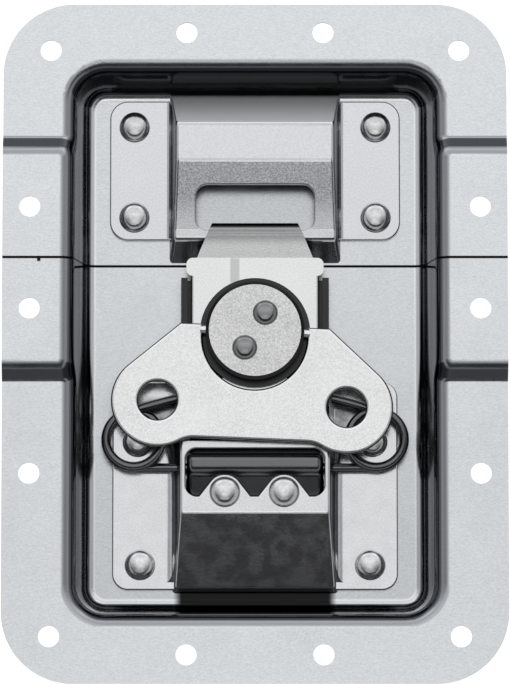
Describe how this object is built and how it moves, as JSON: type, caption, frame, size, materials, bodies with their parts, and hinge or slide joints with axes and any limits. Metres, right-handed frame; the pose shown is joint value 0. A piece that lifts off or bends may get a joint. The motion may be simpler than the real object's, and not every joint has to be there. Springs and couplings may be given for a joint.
{
  "type": "recessed butterfly case latch",
  "caption": "Recessed butterfly twist latch for a flight case: two-part pressed dish, riveted brackets, sprung hook plate and folding two-lobed handle.",
  "frame": {"origin": "centre of the dish's outline, at the level of the rivet tails that it lies on", "axes": "+Z out of the case, away from the back of the dish; +Y towards the lid half with the keeper; +X to the right"},
  "size_m": [0.127, 0.172, 0.0189],
  "materials": {
    "zinc_dish": "satin bright-zinc plated pressed steel",
    "zinc_keeper": "zinc plated pressed steel, polished bends",
    "zinc_latch": "zinc plated pressed steel, polished bends",
    "zinc_channel": "zinc plated pressed steel",
    "zinc_hook": "satin zinc plated steel",
    "zinc_rotor": "blasted zinc plated steel",
    "zinc_handle": "fine satin zinc plated steel",
    "rivet_steel": "bright plated domed rivet",
    "rotor_rivet_steel": "darkened bright domed rivet",
    "spring_steel": "dark drawn spring wire"
  },
  "bodies": {
    "base": {"dish_upper": "zinc_dish", "dish_lower": "zinc_dish", "keeper_bracket": "zinc_keeper", "latch_bracket": "zinc_latch", "hinge_strap": "zinc_latch", "torsion_spring": "spring_steel", "keeper_rivet_1": "rivet_steel", "keeper_rivet_2": "rivet_steel", "keeper_rivet_3": "rivet_steel", "keeper_rivet_4": "rivet_steel", "latch_rivet_1": "rivet_steel", "latch_rivet_2": "rivet_steel", "latch_rivet_3": "rivet_steel", "latch_rivet_4": "rivet_steel", "block_rivet_1": "rivet_steel", "block_rivet_2": "rivet_steel"},
    "frame": {"guide_channel": "zinc_channel", "pivot_post": "rivet_steel"},
    "hook": {"hook_plate": "zinc_hook"},
    "rotor": {"rotor_cam": "zinc_rotor", "rotor_cap": "zinc_rotor", "rotor_rivet_1": "rotor_rivet_steel", "rotor_rivet_2": "rotor_rivet_steel"},
    "handle": {"butterfly_handle": "zinc_handle"}
  },
  "joints": [
    {"name": "latch_lift", "type": "hinge", "parent": "base", "child": "frame", "pos_m": [0, -0.0307, 0.0053], "axis": [1, 0, 0], "range_deg": [0, 5]},
    {"name": "rotor_turn", "type": "hinge", "parent": "frame", "child": "rotor", "pos_m": [0, 0.003, 0.0104], "axis": [0, 0, 1], "range_deg": [0, 180]},
    {"name": "hook_slide", "type": "slide", "parent": "frame", "child": "hook", "axis": [0, 1, 0], "range_m": [0, 0.00801]},
    {"name": "handle_flip", "type": "hinge", "parent": "rotor", "child": "handle", "pos_m": [0, 0.003, 0.0128], "axis": [-0.9992, 0.0401, 0], "range_deg": [0, 90]}
  ],
  "couplings": [
    {"joint": "hook_slide", "follows": "rotor_turn", "m_per_rad": 0.002546}
  ]
}
